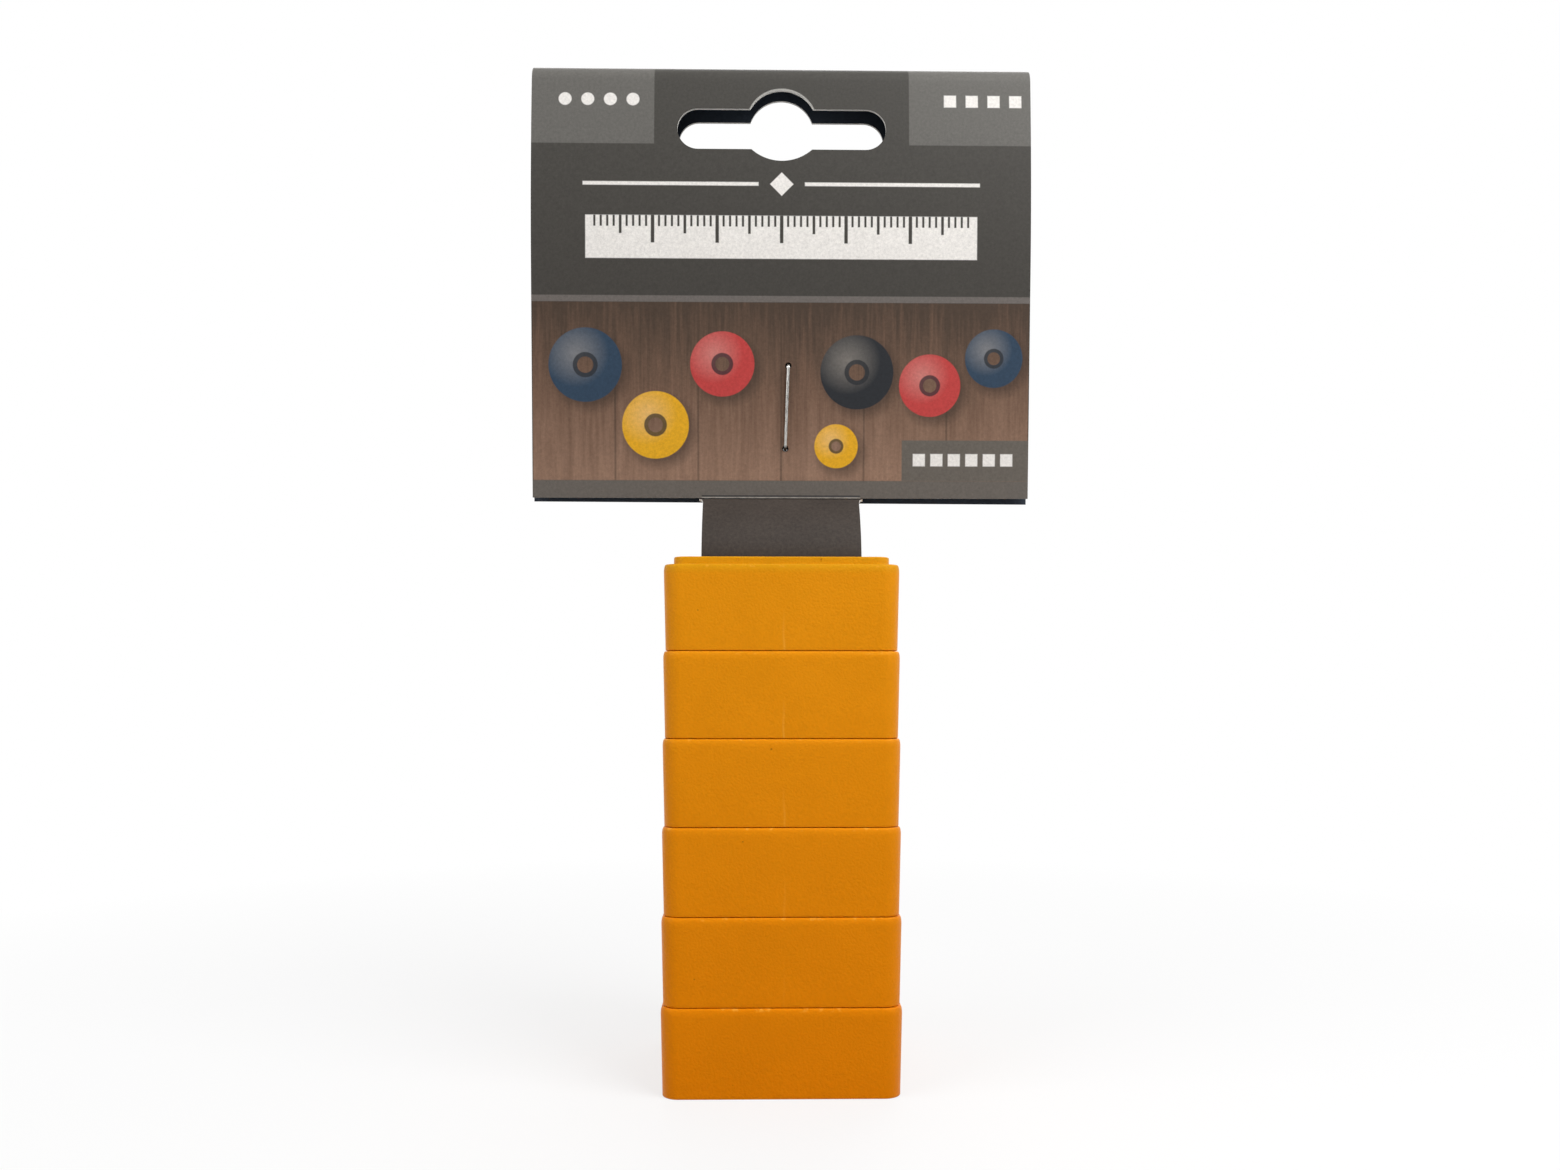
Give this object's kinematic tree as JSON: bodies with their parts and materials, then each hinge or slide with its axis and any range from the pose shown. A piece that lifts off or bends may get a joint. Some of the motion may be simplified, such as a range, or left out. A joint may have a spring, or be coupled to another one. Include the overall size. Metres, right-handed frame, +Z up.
{
  "type": "stacking spacer block set",
  "caption": "Set of square nesting spacer blocks threaded in a column on a folded card hanger with a hang slot, closed by a wire staple.",
  "frame": {"origin": "centre of the bounding box at the plane the bottom block stands on", "axes": "+Z up along the stack towards the header, +X along the header's width, front of the card faces -Y"},
  "size_m": [0.0776, 0.0356, 0.1564],
  "materials": {
    "block_plastic": "moulded semi-gloss orange plastic",
    "card": "printed coated card, dark grey",
    "staple_wire": "bright galvanised wire"
  },
  "bodies": {
    "base": {"block_6": "block_plastic", "strap_front": "card", "strap_bottom": "card", "strap_rear": "card"},
    "spacer_5": {"block_5": "block_plastic"},
    "spacer_4": {"block_4": "block_plastic"},
    "spacer_3": {"block_3": "block_plastic"},
    "spacer_2": {"block_2": "block_plastic"},
    "spacer_1": {"block_1": "block_plastic"},
    "header": {"header_card": "card", "strap_end_tab": "card", "staple": "staple_wire"}
  },
  "joints": [
    {"name": "spacer_5_lift", "type": "slide", "parent": "base", "child": "spacer_5", "axis": [0, 0, 1], "range_m": [0, 0.001]},
    {"name": "spacer_4_lift", "type": "slide", "parent": "spacer_5", "child": "spacer_4", "axis": [0, 0, 1], "range_m": [0, 0.001]},
    {"name": "spacer_3_lift", "type": "slide", "parent": "spacer_4", "child": "spacer_3", "axis": [0, 0, 1], "range_m": [0, 0.001]},
    {"name": "spacer_2_lift", "type": "slide", "parent": "spacer_3", "child": "spacer_2", "axis": [0, 0, 1], "range_m": [0, 0.001]},
    {"name": "spacer_1_lift", "type": "slide", "parent": "spacer_2", "child": "spacer_1", "axis": [0, 0, 1], "range_m": [0, 0.001]},
    {"name": "header_tilt", "type": "hinge", "parent": "base", "child": "header", "pos_m": [0, -0.0085, 0.0889], "axis": [1, 0, 0], "range_deg": [-20, 20]}
  ]
}
